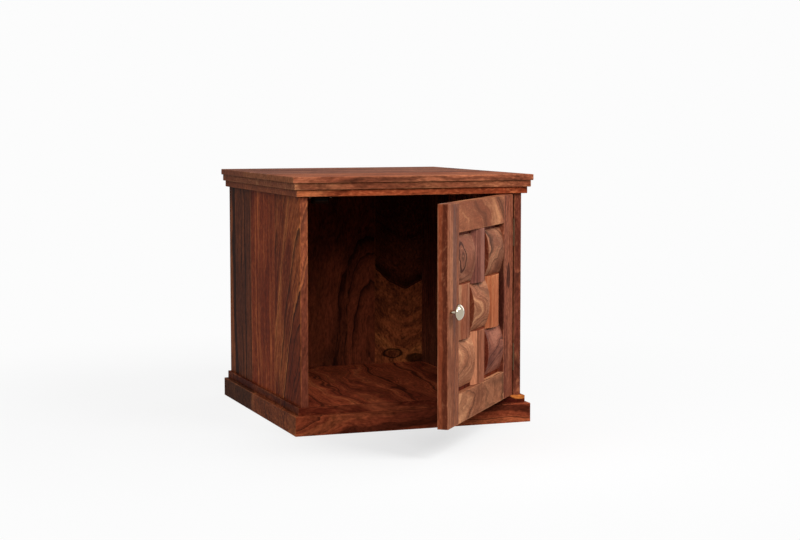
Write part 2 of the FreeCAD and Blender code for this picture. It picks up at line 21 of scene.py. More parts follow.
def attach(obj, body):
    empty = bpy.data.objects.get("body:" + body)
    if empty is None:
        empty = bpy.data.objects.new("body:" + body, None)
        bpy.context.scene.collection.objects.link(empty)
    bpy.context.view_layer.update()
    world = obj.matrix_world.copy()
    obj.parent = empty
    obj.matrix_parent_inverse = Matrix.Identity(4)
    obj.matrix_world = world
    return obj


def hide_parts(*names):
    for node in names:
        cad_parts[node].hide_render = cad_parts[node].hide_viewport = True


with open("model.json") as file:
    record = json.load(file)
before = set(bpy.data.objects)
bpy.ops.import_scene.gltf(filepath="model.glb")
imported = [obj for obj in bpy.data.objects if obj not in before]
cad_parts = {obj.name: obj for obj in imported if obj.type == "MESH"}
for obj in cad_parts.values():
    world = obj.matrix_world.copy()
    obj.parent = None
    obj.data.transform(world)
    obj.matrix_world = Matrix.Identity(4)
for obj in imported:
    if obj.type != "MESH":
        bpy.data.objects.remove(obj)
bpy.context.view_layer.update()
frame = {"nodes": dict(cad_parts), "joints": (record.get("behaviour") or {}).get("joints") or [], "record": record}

nodes = frame["nodes"]

# %% [markdown]
# ## The door is drawn shut
#
# The CAD model stands with its door half open, but a door is easier to measure when it is
# shut: its rails then lie along X. So one matrix turns the open door back about its hinge,
# and its inverse opens it again. Every size of a door piece is read through the first, and
# every new door piece is made shut and goes through the second.

# %% Shut and open the door
hinge = frame["joints"][0]
hinge_line = Matrix.Translation(hinge["pos_m"])
open_angle = math.radians(-hinge["range_deg"][0])
shut = hinge_line @ Matrix.Rotation(-open_angle, 4, "Z") @ hinge_line.inverted()
opened = shut.inverted()
as_it_is = Matrix.Identity(4)


def to_shut(node):
    """The matrix that takes a node to where it is with the door shut."""
    return shut if node in frame["record"]["behaviour"]["bodies"]["door"] else as_it_is


def shut_box(node):
    """The lowest and highest corner of a node with the door shut."""
    mesh = nodes[node].data
    points = np.empty(len(mesh.vertices) * 3, np.float32)
    mesh.vertices.foreach_get("co", points)
    turn = np.array(to_shut(node))
    points = points.reshape(-1, 3) @ turn[:3, :3].T + turn[:3, 3]
    return points.min(0), points.max(0)


print("door opened by", round(math.degrees(open_angle), 1), "degrees")

# %% [markdown]
# ## The camera
#
# A long lens from the front left, a little above the top, shows the left side, the opening
# and the door's face, and lets the top appear only as a thin band. Its place and turn
# came from matching the corners of the cabinet, so they are plain numbers here.

# %% Camera
camera_place = (-1.0990, -3.1704, 0.5643)
camera_yaw = math.radians(20.146)
camera_dip = math.radians(5.069)
camera_roll = math.radians(0.031)
image_width = 800
sensor_width = 36.0
focal_pixels = 1745.75


def placed(name, data):
    """An object that shows a mesh, a lamp or a lens, linked to the scene."""
    thing = bpy.data.objects.new(name, data)
    bpy.context.scene.collection.objects.link(thing)
    return thing


lens = bpy.data.cameras.new("camera")
lens.sensor_width = sensor_width
lens.lens = focal_pixels * sensor_width / image_width
camera = placed("camera", lens)
camera.location = camera_place
camera.rotation_euler = Euler((math.pi / 2 - camera_dip, camera_roll, -camera_yaw))
bpy.context.scene.camera = camera
print("lens", round(lens.lens, 2), "mm")

# %% [markdown]
# ## Floor, backdrop and lamps
#
# The table stands on a plain pale floor with nothing behind it. Stronger lamps could make
# the floor white, but they would bleach the wood too. So the Light Path node tells rays
# apart: the camera, shiny surfaces and glass see the floor and the world as white, and every
# other ray finds a dim sky and a grey floor, which light the wood softly. The white that is
# seen is a glow mixed with a share of the floor's own shaded colour. That share is what
# shows of the shadow. It is largest below the open door, smaller round the rest of the
# table, and gone a little over a metre away.

# %% Small helpers for node trees
def add(tree, kind, inputs=None, **settings):
    """Add a node; inputs maps a socket's name or number to a value or another socket."""
    node = tree.nodes.new(kind)
    for name, value in settings.items():
        setattr(node, name, value)
    for socket, value in (inputs or {}).items():
        if isinstance(value, bpy.types.NodeSocket):
            tree.links.new(value, node.inputs[socket])
        else:
            node.inputs[socket].default_value = value
    return node


def calculate(tree, operation, *values):
    """The result of a Math node."""
    return add(tree, "ShaderNodeMath", dict(enumerate(values)), operation=operation).outputs[0]


def calculate_vector(tree, operation, *values):
    """The result of a Vector Math node, a number for a length and a vector for the rest."""
    node = add(tree, "ShaderNodeVectorMath", dict(enumerate(values)), operation=operation)
    return node.outputs["Value" if operation == "LENGTH" else "Vector"]


def mix_colour(tree, share, first, second, how="MIX"):
    """The second colour laid over the first by a share."""
    inputs = {0: share, 6: first, 7: second}
    node = add(tree, "ShaderNodeMix", inputs, data_type="RGBA", blend_type=how)
    return node.outputs[2]


def shaded(tree, colour, shade):
    """A colour multiplied by a shade of grey."""
    grey = add(tree, "ShaderNodeCombineXYZ", {0: shade, 1: shade, 2: shade}).outputs[0]
    return mix_colour(tree, 1.0, colour, grey, "MULTIPLY")


def rise(tree, value, start, end):
    """0 below start, 1 above end and a smooth step between them."""
    inputs = {"Value": value, "From Min": start, "From Max": end}
    node = add(tree, "ShaderNodeMapRange", inputs, interpolation_type="SMOOTHSTEP")
    return node.outputs["Result"]


def paint(red, green, blue):
    """A colour written as 0 to 255 on a screen, as Blender's linear colour. The numbers are
    the sRGB curve's: a straight foot, and above it a power of 2.4."""
    screen = np.array([red, green, blue]) / 255
    linear = np.where(screen <= 0.04045, screen / 12.92, ((screen + 0.055) / 1.055) ** 2.4)
    return (*linear.tolist(), 1.0)


print("mid grey on a screen is", round(paint(128, 128, 128)[0], 3), "in linear light")


# %% World: white to look at, dim as a lamp
white = paint(252, 252, 252)
sky_light = 0.5


def seen_white(tree, path):
    """1 for a ray from the camera, off a shiny surface or through glass, 0 for the rest."""
    shiny = calculate(tree, "MAXIMUM", path["Is Glossy Ray"], path["Is Transmission Ray"])
    return calculate(tree, "MAXIMUM", path["Is Camera Ray"], shiny)


def empty_tree(owner):
    """Switch a world's or material's nodes on and clear them away."""
    owner.use_nodes = True
    owner.node_tree.nodes.clear()
    return owner.node_tree


world = bpy.data.worlds.new("studio")
bpy.context.scene.world = world
tree = empty_tree(world)
path = add(tree, "ShaderNodeLightPath").outputs
seen = seen_white(tree, path)
dim = add(tree, "ShaderNodeBackground", {"Color": (1, 1, 1, 1), "Strength": sky_light})
bright = add(tree, "ShaderNodeBackground", {"Color": white, "Strength": 1.0})
both = add(tree, "ShaderNodeMixShader", {0: seen, 1: dim.outputs[0], 2: bright.outputs[0]})
add(tree, "ShaderNodeOutputWorld", {"Surface": both.outputs[0]})
print("world:", len(tree.nodes), "nodes")

# %% Floor material: white with a soft shadow
floor_true = paint(110, 110, 110)
floor_in_lamplight = (0.742, 0.742, 0.742, 1)
floor_shadow_share = 0.39
shadow_reach = (0.5, 1.3)
door_shadow = (0.0, -0.5, 0.0)
door_shadow_reach = (0.05, 0.5)
shadow_elsewhere = 0.3

floor_material = bpy.data.materials.new("studio_floor")
tree = empty_tree(floor_material)
path = add(tree, "ShaderNodeLightPath").outputs
real = add(tree, "ShaderNodeBsdfDiffuse", {"Color": floor_true})
shown = add(tree, "ShaderNodeBsdfDiffuse", {"Color": floor_in_lamplight})
glow = add(tree, "ShaderNodeEmission", {"Color": white, "Strength": 1.0})
spot = add(tree, "ShaderNodeTexCoord").outputs["Object"]
away = calculate_vector(tree, "LENGTH", spot)
from_door = calculate_vector(tree, "LENGTH", calculate_vector(tree, "SUBTRACT", spot, door_shadow))
near_door = rise(tree, from_door, *reversed(door_shadow_reach))
deep = calculate(tree, "MULTIPLY_ADD", near_door, 1 - shadow_elsewhere, shadow_elsewhere)
share = calculate(tree, "MULTIPLY", rise(tree, away, *reversed(shadow_reach)), deep)
share = calculate(tree, "MULTIPLY", share, floor_shadow_share)
faded = add(tree, "ShaderNodeMixShader", {0: share, 1: glow.outputs[0], 2: shown.outputs[0]})
pick = {0: seen_white(tree, path), 1: real.outputs[0], 2: faded.outputs[0]}
both = add(tree, "ShaderNodeMixShader", pick)
add(tree, "ShaderNodeOutputMaterial", {"Surface": both.outputs[0]})
print("floor:", len(tree.nodes), "nodes")

# %% The floor itself
floor_half_size = 12.0
square = np.array([(-1, -1, 0), (1, -1, 0), (1, 1, 0), (-1, 1, 0)])


def mesh_of(name, points, faces, material=None):
    """A mesh of an array of points and a list of faces, with a material if one is given."""
    mesh = bpy.data.meshes.new(name)
    mesh.from_pydata(points.tolist(), [], faces)
    if material:
        mesh.materials.append(material)
    return mesh


floor_mesh = mesh_of("studio_floor", square * floor_half_size, [(0, 1, 2, 3)], floor_material)
floor = placed("studio_floor", floor_mesh)
print("floor", 2 * floor_half_size, "m square")

# %% Three soft lamps
lamp_aim = Vector((0, 0, 0.25))


def softbox(name, direction, distance, width, height, level):
    """A lamp that looks at the cabinet. level is what a white card facing it shows, and the
    power for it is pi squared x level x distance squared."""
    lamp = bpy.data.lights.new(name, "AREA")
    lamp.shape = "RECTANGLE"
    lamp.size = width
    lamp.size_y = height
    lamp.energy = math.pi**2 * level * distance**2
    holder = placed(name, lamp)
    way = Vector(direction).normalized()
    holder.location = lamp_aim + way * distance
    holder.rotation_euler = way.to_track_quat("Z", "Y").to_euler()
    holder.visible_camera = False
    print(name, [round(c, 2) for c in holder.location], round(lamp.energy, 1), "W")


softbox("key", (0.42, -0.55, 0.60), distance=2.8, width=1.4, height=1.4, level=0.75)
softbox("front", (-0.25, -0.85, 0.42), distance=3.0, width=1.6, height=1.2, level=0.45)
softbox("kicker", (0.84, 0.54, 0.25), distance=2.2, width=1.0, height=1.2, level=0.16)
bpy.context.scene.view_settings.view_transform = "Standard"

# %% [markdown]
# ## Rosewood as a solid
#
# A board is a slice of a log, so its figure is worked out in three dimensions: each point
# has a distance from the pith, and dark and light growth bands follow that distance. Noise
# of three sizes bends the log, a lean makes the arches that a flat-sawn face shows, and one
# bump in the distance makes a knot. Faces, ends and rounded blocks then all show the right
# figure at once, end grain included, which a flat picture wrapped round a board can't do.
# The board's own axes come in through a Mapping node: x across it, y through it and z along
# the grain. What a maker would point at is given one by one: where dark heartwood stops,
# where a knot or a stain lies, and on which edge a strip of pale sapwood was left. Those are
# the inputs of one node group, which is built once and used by every board.

# %% The rosewood node group and its inputs
group = bpy.data.node_groups.new("rosewood", "ShaderNodeTree")
far_away = 9.0
vectors = {
    "Vector": (0.0, 0.0, 0.0),
    "Half size": (far_away, far_away, far_away),
    "Pith": (0.0, 0.06, 0.0),
    "Knot": (0.0, 0.0, 0.0),
    "Knot size": (0.02, 0.05, 0.02),
    "Stain": (far_away, 0.0, 0.0),
    "Stain size": (0.02, 0.05, 0.02),
}
shape_of_the_log = {"Lean": 0.05, "Wander": 0.05, "Swirl": 0.02, "Ripple": 0.008, "Seed": 0.0}
# One of these, the arris share, sets a pale painted highlight along the arrises.
bands_and_flecks = {"Bands": 60.0, "Dark share": 0.36, "Lines": 0.75, "Fleck": 1.0, "Worn": 0.35}
heart_and_knot = {"Zone": -far_away, "Zone depth": 0.6, "Knot pull": 0.0, "Knot ring": 0.0}
sap_and_edges = {"Sap side": 1.0, "Sap edge": far_away, "End share": 0.0, "Edge share": 0.0}
numbers = {**shape_of_the_log, **bands_and_flecks, **heart_and_knot, **sap_and_edges}
numbers["Dark edge share"] = 0.0
colours = {
    "Streak": paint(45, 24, 19),
    "Heart": paint(92, 44, 31),
    "Body": paint(134, 70, 44),
    "Pale": paint(176, 106, 66),
    "End": paint(110, 60, 38),
    "Edge": paint(110, 60, 38),
    "Dark edge": paint(70, 32, 22),
}


def sockets(side, kind, values):
    """New inputs or outputs of the group, with their values at rest."""
    for name, value in values.items():
        socket = group.interface.new_socket(name, in_out=side, socket_type=f"NodeSocket{kind}")
        socket.default_value = value


sockets("INPUT", "Vector", vectors)
sockets("INPUT", "Float", numbers)
sockets("INPUT", "Color", colours)
sockets("OUTPUT", "Color", {"Color": colours["Body"]})
sockets("OUTPUT", "Float", {"Roughness": 0.4, "Height": 0.0})
given = add(group, "NodeGroupInput").outputs
print(len({**vectors, **numbers, **colours}), "inputs")

# %% Helpers inside the group
times = partial(calculate, group, "MULTIPLY")
plus = partial(calculate, group, "ADD")
times_plus = partial(calculate, group, "MULTIPLY_ADD")
larger = partial(calculate, group, "MAXIMUM")
smaller = partial(calculate, group, "MINIMUM")
step = partial(rise, group)
vector_sum = partial(calculate_vector, group, "ADD")
vector_gap = partial(calculate_vector, group, "SUBTRACT")
stretched = partial(calculate_vector, group, "MULTIPLY")
length = partial(calculate_vector, group, "LENGTH")


def laid(colour, share, name):
    """One of the board's own colours laid over a colour by a share."""
    return mix_colour(group, share, colour, given[name])


def part(vector, axis):
    """The X, Y or Z of a vector."""
    return add(group, "ShaderNodeSeparateXYZ", {0: vector}).outputs[axis]


def cloud(vector, scale, detail, shift):
    """Noise over the board, with its own scale across, through and along the grain."""
    place = stretched(vector, scale)
    inputs = {"Vector": place, "W": plus(given["Seed"], shift), "Scale": 1.0, "Detail": detail}
    return add(group, "ShaderNodeTexNoise", inputs, noise_dimensions="4D").outputs


def bend(scale, amount, shift):
    """A push that noise turns every way, up to half of amount."""
    noise = cloud(given["Vector"], scale, 2.0, shift)["Color"]
    centred = vector_gap(noise, (0.5, 0.5, 0.5))
    node = add(group, "ShaderNodeVectorMath", {0: centred, "Scale": amount}, operation="SCALE")
    return node.outputs["Vector"]


def reach_of(point, centre, size):
    """How far a point is from a spot's centre, counted in the spot's own half sizes."""
    apart = vector_gap(point, centre)
    return length(calculate_vector(group, "DIVIDE", apart, size))


# %% [markdown]
# ## Distance from the pith
#
# In a straight log the growth rings are tubes round the pith, so a point's ring depends on
# its distance from that line. A real log leans and wanders, so the point is first shaken by
# a quick noise and bent by a middle and a slow one. A lean adds a part of the height, which
# opens the tubes into cones: a flat board cut through them shows pointed arches. A knot
# pushes the rings aside, by a bump that falls away as e to the power of minus the square of
# the distance from the knot.

# %% Distance from the bent pith, with a knot
slow = bend(scale=(5.0, 5.0, 2.2), amount=given["Wander"], shift=1.7)
middle = bend(scale=(15.0, 15.0, 6.0), amount=given["Swirl"], shift=3.6)
quick = bend(scale=(45.0, 45.0, 14.0), amount=given["Ripple"], shift=5.1)
crosswise = (1, 1, 0)
shaken = vector_sum(given["Vector"], quick)
bent = vector_sum(shaken, vector_sum(slow, middle))
from_pith = vector_gap(bent, given["Pith"])
radius = length(stretched(from_pith, crosswise))
lengthwise = part(from_pith, "Z")
leaning = times_plus(lengthwise, given["Lean"], radius)

nudged = vector_sum(shaken, quick)
knot_reach = reach_of(nudged, given["Knot"], given["Knot size"])
knot_fall = times(times(knot_reach, knot_reach), -1.0)
knot_bump = calculate(group, "POWER", math.e, knot_fall)
distance = times_plus(knot_bump, given["Knot pull"], leaning)
rings = times(distance, given["Bands"])
print("distance field:", len(group.nodes), "nodes")


# %% [markdown]
# ## Bands, flecks and pores
#
# Two kinds of noise make the figure. One depends on the distance from the pith only, so it
# gives bands that keep their shade all round the log. The other lives in the bent log, is
# stretched along the grain and also moves on from band to band, so its streaks and flecks
# lie along the bands as real fibres do. The higher a scale, the finer the mark.

# %% Noise that runs with the bands
finer_layer_share = 0.55


def along_rings(rate, detail, shift):
    """Noise that depends on the distance from the pith only, rate times as fast as the bands."""
    place = times_plus(given["Seed"], shift, times(rings, rate))
    inputs = {"W": place, "Scale": 1.0, "Detail": detail, "Roughness": finer_layer_share}
    return add(group, "ShaderNodeTexNoise", inputs, noise_dimensions="1D").outputs[0]


def along_grain(scale, detail, shift, follow):
    """Noise in the bent log. follow times the distance from the pith moves it on, so that it
    also changes from band to band and its flecks lie along the bands."""
    place = times_plus(distance, follow, plus(given["Seed"], shift))
    inputs = {"Vector": stretched(bent, scale), "W": place, "Scale": 1.0, "Detail": detail}
    return add(group, "ShaderNodeTexNoise", inputs, noise_dimensions="4D").outputs[0]


wide = along_rings(rate=0.6, detail=3.0, shift=7.3)
narrow = along_rings(rate=3.1, detail=3.0, shift=3.1)
blotch = cloud(bent, scale=(16.0, 16.0, 6.0), detail=4.0, shift=9.4)["Fac"]
patch = cloud(bent, scale=(26.0, 26.0, 11.0), detail=3.0, shift=8.8)["Fac"]
streaks = along_grain(scale=(120.0, 120.0, 26.0), detail=3.0, shift=2.2, follow=160.0)
fleck = along_grain(scale=(300.0, 300.0, 120.0), detail=2.0, shift=3.3, follow=120.0)
fibre = along_grain(scale=(800.0, 800.0, 40.0), detail=2.0, shift=4.9, follow=300.0)
pore = along_grain(scale=(1500.0, 1500.0, 70.0), detail=1.0, shift=6.6, follow=0.0)
print("with the noises:", len(group.nodes), "nodes")

# %% Dark latewood lines
line_spacing = {"rate": 0.45, "detail": 1.0, "shift": 5.7}
line_unevenness = 3.0
line_darkens = (0.6, 0.95)
line_stops = (1.0, 0.97)
rings_with_a_line = (0.2, 0.65)
patches_with_a_line = (0.34, 0.5)
uneven = times_plus(along_rings(**line_spacing), line_unevenness, rings)
own_chance = {"W": plus(calculate(group, "FLOOR", uneven), given["Seed"])}
chance = add(group, "ShaderNodeTexWhiteNoise", own_chance, noise_dimensions="1D").outputs["Value"]
through_ring = calculate(group, "FRACT", uneven)
latewood = times(step(through_ring, *line_darkens), step(through_ring, *line_stops))
latewood = times(latewood, step(chance, *rings_with_a_line))
line = times(latewood, step(patch, *patches_with_a_line))
line = times(line, given["Lines"])
print("with the dark lines:", len(group.nodes), "nodes")

# %% [markdown]
# ## Four colours, laid over each other
#
# Rosewood runs from nearly black to golden within a hand's width. Each board has four
# colours: its darkest lines, two middle tones and its lightest. They could be stops on one
# ramp, but then light and dark would always follow each other in the same order. So they
# are laid over each other, each where a band noise and a patch noise both allow it.

# %% The four colours of a board
body_patches = (0.38, 0.6)
colour = mix_colour(group, step(blotch, *body_patches), given["Heart"], given["Body"])
layers = [
    (wide, (0.52, 0.66), blotch, (0.35, 0.6), 1.0, "Pale"),
    (narrow, (0.6, 0.36), patch, (0.62, 0.4), 0.6, "Heart"),
    (narrow, (0.56, 0.68), patch, (0.45, 0.65), 0.45, "Pale"),
]
for band, band_span, spread, spread_span, strength, colour_name in layers:
    shown = times(step(band, *band_span), step(spread, *spread_span))
    colour = laid(colour, times(shown, strength), colour_name)
print(len(layers), "layers over the two middle tones")

# %% Heartwood
zone_blur = 0.0012
zone_rim = 0.007
zone = given["Zone"]
inside = step(distance, plus(zone, zone_blur), zone)
colour = laid(colour, times(inside, given["Zone depth"]), "Heart")
at_rim = times(inside, step(distance, plus(zone, -zone_rim), zone))
print("with heartwood:", len(group.nodes), "nodes")

# %% Dark bands, knot and stain
band_blur = 0.09
ring_width = (0.24, 0.06)
knot_core = (1.0, 0.7)
knot_core_share = 0.7
stain_edge = (1.1, 0.85)
stain_share = 0.9
dark_depth = 0.88
dark_end = plus(given["Dark share"], -band_blur)
dark = larger(step(wide, given["Dark share"], dark_end), line)
dark = larger(dark, times(at_rim, given["Lines"]))
off_ring = calculate(group, "ABSOLUTE", plus(knot_reach, -1.0))
knot_ring = times(step(off_ring, *ring_width), given["Knot ring"])
core_share = times(given["Knot ring"], knot_core_share)
knot_heart = times(step(knot_reach, *knot_core), core_share)
colour = laid(colour, knot_heart, "Heart")
stain = step(reach_of(nudged, given["Stain"], given["Stain size"]), *stain_edge)
spots = larger(knot_ring, times(stain, stain_share))
dark = larger(dark, spots)
colour = laid(colour, times(dark, dark_depth), "Streak")
print("with dark bands, knot and stain:", len(group.nodes), "nodes")

# %% Sapwood
sap_blur = 0.0015
sap_share = 0.85
across = part(shaken, "X")
sap_end = plus(given["Sap edge"], sap_blur)
sap = step(times(across, given["Sap side"]), given["Sap edge"], sap_end)
colour = laid(colour, times(sap, sap_share), "Pale")
print("with sapwood:", len(group.nodes), "nodes")

# %% [markdown]
# ## Edges, fibres and the last shade
#
# The ends of a board drink more lacquer than its faces, and on the bowed blocks the darker
# ends are also painted shade. Its edges come from other rings, and a pale painted highlight
# runs along its arrises, where light would catch their rounding. Half the board's size less
# the distance from its middle says how far in a point lies, and each of these shows only in
# the outermost half millimetre or two. Fibres, flecks and pores are laid over everything as
# a shade that multiplies the colour, and pale flecks glint where the wood isn't already dark.

# %% End grain and edges
skin = (0.0006, 0.0002)
edge_middle = (0.002, -0.001)
inward = calculate_vector(group, "ABSOLUTE", given["Vector"])
inward = vector_gap(given["Half size"], inward)
left_over = add(group, "ShaderNodeSeparateXYZ", {0: inward}).outputs
at_end = step(left_over["Z"], *skin)
colour = laid(colour, times(at_end, given["End share"]), "End")
at_side = step(left_over["X"], *skin)
colour = laid(colour, times(at_side, given["Edge share"]), "Edge")
wandering = vector_sum(shaken, middle)
through = part(wandering, "Y")
dark_half = times(at_side, step(through, *edge_middle))
dark_edge = times(dark_half, given["Dark edge share"])
colour = laid(colour, dark_edge, "Dark edge")
print("with ends and edges:", len(group.nodes), "nodes")

# %% Painted highlight on the arrises
arris_width = (0.0022, 0.0005)
arris_highlight_patches = (0.35, 0.6)
nearer = smaller(left_over["X"], left_over["Y"])
further = larger(left_over["X"], left_over["Y"])
to_arris = larger(nearer, smaller(further, left_over["Z"]))
# The pale line along each arris, in patches, is a painted highlight.
worn = times(step(to_arris, *arris_width), step(patch, *arris_highlight_patches))
colour = laid(colour, times(worn, given["Worn"]), "Pale")
print("with arrises:", len(group.nodes), "nodes")

# %% Fibre, flecks and pores
fibre_contrast = 0.6
streak_contrast = 1.4
fleck_contrast = 1.7
pore_size = (0.64, 0.74)
pore_shade = -0.4
shade = times_plus(plus(fibre, -0.5), fibre_contrast, 1.0)
streak_share = times(given["Fleck"], streak_contrast)
shade = times_plus(plus(streaks, -0.5), streak_share, shade)
fleck_share = times(given["Fleck"], fleck_contrast)
shade = times_plus(plus(fleck, -0.5), fleck_share, shade)
pored = step(pore, *pore_size)
shade = times(shade, times_plus(pored, pore_shade, 1.0))
colour = shaded(group, colour, shade)
print("with fibre, flecks and pores:", len(group.nodes), "nodes")

# %% Pale glints, roughness and relief
glint_flecks = (0.54, 0.7)
glint_patches = (0.35, 0.6)
glint_share = 0.45
glint_lost_in_heartwood = -0.8
glint = times(step(fleck, *glint_flecks), step(blotch, *glint_patches))
glint = times(glint, times_plus(inside, glint_lost_in_heartwood, 1.0))
glint = times(glint, times_plus(dark, -1.0, 1.0))
glint = times(glint, times(given["Fleck"], glint_share))
colour = laid(colour, glint, "Pale")

smoothest = 0.36
fibre_roughness = 0.12
pore_sink = -0.8
rough = times_plus(fibre, fibre_roughness, smoothest)
relief = times_plus(pored, pore_sink, fibre)
add(group, "NodeGroupOutput", {"Color": colour, "Roughness": rough, "Height": relief})
print("rosewood group:", len(group.nodes), "nodes")

# %% [markdown]
# ## One cut of the log for each board
#
# No two boards of a real table match, because each comes from another part of a tree. So
# every board gets a material of its own: the same group, with its own pith, bend, bands
# and four colours. The satin lacquer has a sheen but no clear reflection. A coat in the
# shader would turn hazy at a low angle, because it would mirror the white room, so the sheen
# comes from a small metallic share, which reflects in the wood's own colour.

# %% Find a board's own axes
def grain_turn(low, high, grain):
    """The rows of a turn from the model to a board's axes: across, through and along."""
    along = "xyz".index(grain)
    across = sorted({0, 1, 2} - {along}, key=lambda axis: low[axis] - high[axis])
    turn = np.zeros((3, 3))
    turn[0, across[0]] = turn[1, across[1]] = turn[2, along] = 1
    turn[1] *= np.sign(np.linalg.det(turn))
    return turn


def board_axes(node, grain):
    """The matrix from the model to a board's own axes, and half the board's size along
    them. z runs along the grain, x across the face and y through the thickness."""
    low, high = shut_box(node)
    turn = grain_turn(low, high, grain)
    centre = Matrix.Translation(-Vector((low + high) / 2))
    half_size = tuple(np.abs(turn @ (high - low) / 2).tolist())
    return Matrix(turn.tolist()).to_4x4() @ centre @ to_shut(node), half_size


half_top = board_axes("top_board_front", "x")[1]
print("half the front top board:", [round(side, 4) for side in half_top])

# %% A lacquered rosewood material
lacquer_gloss = 0.0
fibre_sheen = 0.1
relief_depth = 0.0002
relief_strength = 0.35


def lit_by(tree, surface):
    """A Principled shader with some inputs set, joined to the material's output."""
    shader = add(tree, "ShaderNodeBsdfPrincipled", surface)
    add(tree, "ShaderNodeOutputMaterial", {"Surface": shader.outputs[0]})


def rosewood(name, axes, **cut):
    """A lacquered rosewood material. cut sets inputs of the group by their names."""
    material = bpy.data.materials.new(name)
    tree = empty_tree(material)
    place = add(tree, "ShaderNodeTexCoord").outputs["Object"]
    turned = {"Vector": place, "Location": axes.translation, "Rotation": axes.to_euler("XYZ")}
    mapped = add(tree, "ShaderNodeMapping", turned)
    wood = add(tree, "ShaderNodeGroup", node_tree=group)
    tree.links.new(mapped.outputs[0], wood.inputs["Vector"])
    for socket, value in cut.items():
        wood.inputs[socket.replace("_", " ").capitalize()].default_value = value
    height = {"Height": wood.outputs["Height"], "Distance": relief_depth}
    bump = add(tree, "ShaderNodeBump", {**height, "Strength": relief_strength})
    surface = {
        "Base Color": wood.outputs["Color"],
        "Roughness": wood.outputs["Roughness"],
        "Normal": bump.outputs[0],
        "Specular IOR Level": lacquer_gloss,
        "Metallic": fibre_sheen,
    }
    lit_by(tree, surface)
    return material


print("metallic share of the sheen:", fibre_sheen)

# %% Give a board its cut
millimetre = 0.001


def finish(node, material):
    """Put a material on a CAD node's slots."""
    for slot in nodes[node].material_slots:
        slot.material = material


def mixed(*habits):
    """Habits laid over each other, so that a later one overrules an earlier one."""
    return {name: value for habit in habits for name, value in habit.items()}


def saw(node, grain, seed, bands, *habits):
    """Give a CAD board its own cut of rosewood."""
    axes, half_size = board_axes(node, grain)
    cut = mixed(dict(seed=seed, bands=bands, half_size=half_size), *habits)
    finish(node, rosewood(node, axes, **cut))
    whole = [round(2 * half / millimetre) for half in half_size]
    print(node, "is", whole, "mm across, through and along")


# %% [markdown]
# ## Tones of the same timber
#
# A few tones, written as they would look on a screen, serve the whole table. A board that
# is redder, darker or greyer than its tone gets it stained: the stain multiplies the red,
# green and blue light, as a thin dye does. Where a board is plainer, the tone is calmed, so
# that its four colours move towards each other.

# %% Tones, stains and calmer tones
def tone(streak, heart, body, pale):
    """The four colours of a cut: its darkest lines, its two middle tones and its lightest."""
    named = {"streak": streak, "heart": heart, "body": body, "pale": pale}
    return {name: paint(*screen) for name, screen in named.items()}


def stained(wood, red, green, blue):
    """A tone under a stain that multiplies its red, green and blue light."""
    return {name: (c[0] * red, c[1] * green, c[2] * blue, 1.0) for name, c in wood.items()}


def calmed(wood, share):
    """A tone with less contrast: every colour moved a share of the way to the body's."""
    body = wood["body"]
    return {name: tuple(a + (b - a) * share for a, b in zip(c, body)) for name, c in wood.items()}


night = tone((38, 18, 13), (84, 40, 27), (112, 54, 34), (150, 78, 46))
wine = tone((32, 12, 9), (84, 32, 19), (122, 54, 30), (162, 88, 50))
plum = tone((48, 28, 25), (104, 56, 44), (138, 80, 60), (172, 110, 84))
rust = tone((46, 19, 12), (112, 49, 29), (148, 76, 46), (184, 108, 66))
umber = tone((46, 24, 14), (108, 56, 34), (146, 84, 52), (182, 116, 74))
honey = tone((56, 26, 15), (128, 68, 42), (164, 100, 64), (204, 138, 88))
ember = tone((60, 20, 11), (138, 58, 30), (176, 84, 46), (210, 124, 72))
russet = tone((54, 20, 13), (118, 49, 28), (150, 68, 38), (196, 106, 58))
print("the lightest tone's body colour is", [round(light, 2) for light in honey["body"][:3]])

# %% [markdown]
# ## The carcass boards
#
# The grain of the sides and back stands upright, and the top, cornice and base run
# lengthwise. The rear board of the left side is almost black, the middle one is the
# reddest and the front one is browner, which is how such a side looks when three offcuts
# are glued edge to edge. A dark line curves down the front board, where its heartwood ends.
# The boards could share one material, but then the figure would run on across every joint.
# So a few habits of growth are written once, and each board mixes some of them with its
# own tone. Its two numbers are the seed of its noise and its bands in a metre.

# %% Top and cornice
straight = dict(pith=(0.3, 0.05, 0), lean=0.03, wander=0.06, swirl=0.012)
swirled = dict(pith=(0.0, 0.2, 0), lean=0.15, wander=0.16, swirl=0.05, ripple=0.012)
arched = dict(pith=(0.0, 0.02, 0), lean=0.35, wander=0.05, swirl=0.02, ripple=0.01)
golden_end = dict(end_share=0.8, end=paint(150, 90, 57))
brown_end = dict(end_share=0.8, end=paint(132, 74, 50))
front_tone = calmed(stained(rust, 0.97, 1.2, 1.52), 0.3)
middle_tone = stained(plum, 0.89, 1.0, 1.03)
rear_tone = stained(plum, 0.9, 1.03, 1.06)
cornice_tone = stained(rust, 1.15, 1.68, 2.0)
lid_tone = stained(ember, 0.73, 0.74, 0.88)
saw("top_board_front", "x", 3.0, 80.0, front_tone, straight, golden_end)
saw("top_board_middle", "x", 8.0, 70.0, middle_tone, straight, golden_end)
saw("top_board_rear", "x", 5.0, 70.0, rear_tone, straight, brown_end)
saw("cornice_board", "x", 12.0, 60.0, cornice_tone, straight, brown_end)
saw("carcass_top", "x", 17.0, 50.0, lid_tone, straight, brown_end)

